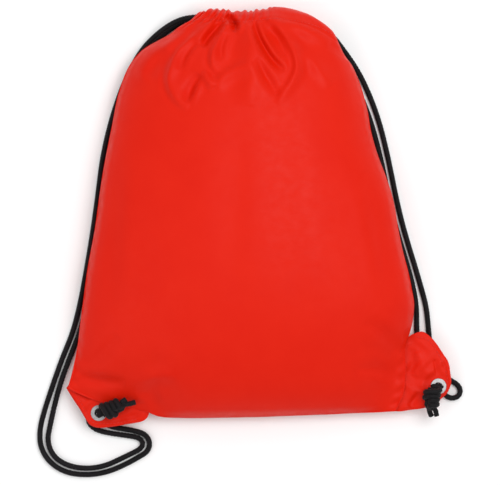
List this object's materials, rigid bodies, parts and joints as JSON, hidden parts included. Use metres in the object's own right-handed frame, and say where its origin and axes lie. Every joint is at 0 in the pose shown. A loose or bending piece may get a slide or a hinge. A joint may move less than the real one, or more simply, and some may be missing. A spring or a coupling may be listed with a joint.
{
  "type": "drawstring backpack",
  "caption": "Soft cloth sack with a gathered drawstring mouth and doubled cords that run to eyelets in its bottom corners as shoulder straps.",
  "frame": {"origin": "middle of the box round the sack, without its cords, on the surface that it lies on", "axes": "the sack lies on its back: +X to its right-hand side seen from the front, +Y along its height to the mouth, +Z out of the front panel"},
  "size_m": [0.4014, 0.4417, 0.084],
  "materials": {
    "bag_cloth": "satin woven polyester",
    "cord": "braided polyester cord",
    "thread": "sewing thread",
    "eyelet_metal": "nickel-plated"
  },
  "bodies": {
    "bag": {"front_panel": "bag_cloth", "back_panel": "bag_cloth", "bottom_seam": "bag_cloth", "left_side_seam": "bag_cloth", "right_side_seam": "bag_cloth", "back_channel": "bag_cloth", "back_channel_stitching": "thread", "left_corner": "bag_cloth", "right_corner": "bag_cloth", "left_corner_stitching": "thread", "right_corner_stitching": "thread", "left_eyelet": "eyelet_metal", "right_eyelet": "eyelet_metal", "left_eyelet_washer": "eyelet_metal", "right_eyelet_washer": "eyelet_metal", "left_cord_back_run": "cord", "right_cord_back_run": "cord", "left_cord_turn": "cord", "right_cord_turn": "cord", "left_cord_front_strand": "cord", "left_cord_back_strand": "cord", "right_cord_front_strand": "cord", "right_cord_back_strand": "cord"},
    "front_lip": {"front_channel": "bag_cloth", "front_channel_stitching": "thread", "left_cord_front_run": "cord", "right_cord_front_run": "cord"},
    "left_stopper": {"left_knot": "cord", "left_cord_riser": "cord"},
    "right_stopper": {"right_knot": "cord", "right_cord_riser": "cord"}
  },
  "joints": [
    {"name": "mouth_open", "type": "hinge", "parent": "bag", "child": "front_lip", "pos_m": [-0.007, 0.172, 0.032], "axis": [1, 0, 0], "range_deg": [0, 50]},
    {"name": "left_knot_lift", "type": "slide", "parent": "bag", "child": "left_stopper", "axis": [0, 0, 1], "range_m": [0, 0.008]},
    {"name": "right_knot_lift", "type": "slide", "parent": "bag", "child": "right_stopper", "axis": [0, 0, 1], "range_m": [0, 0.008]}
  ]
}
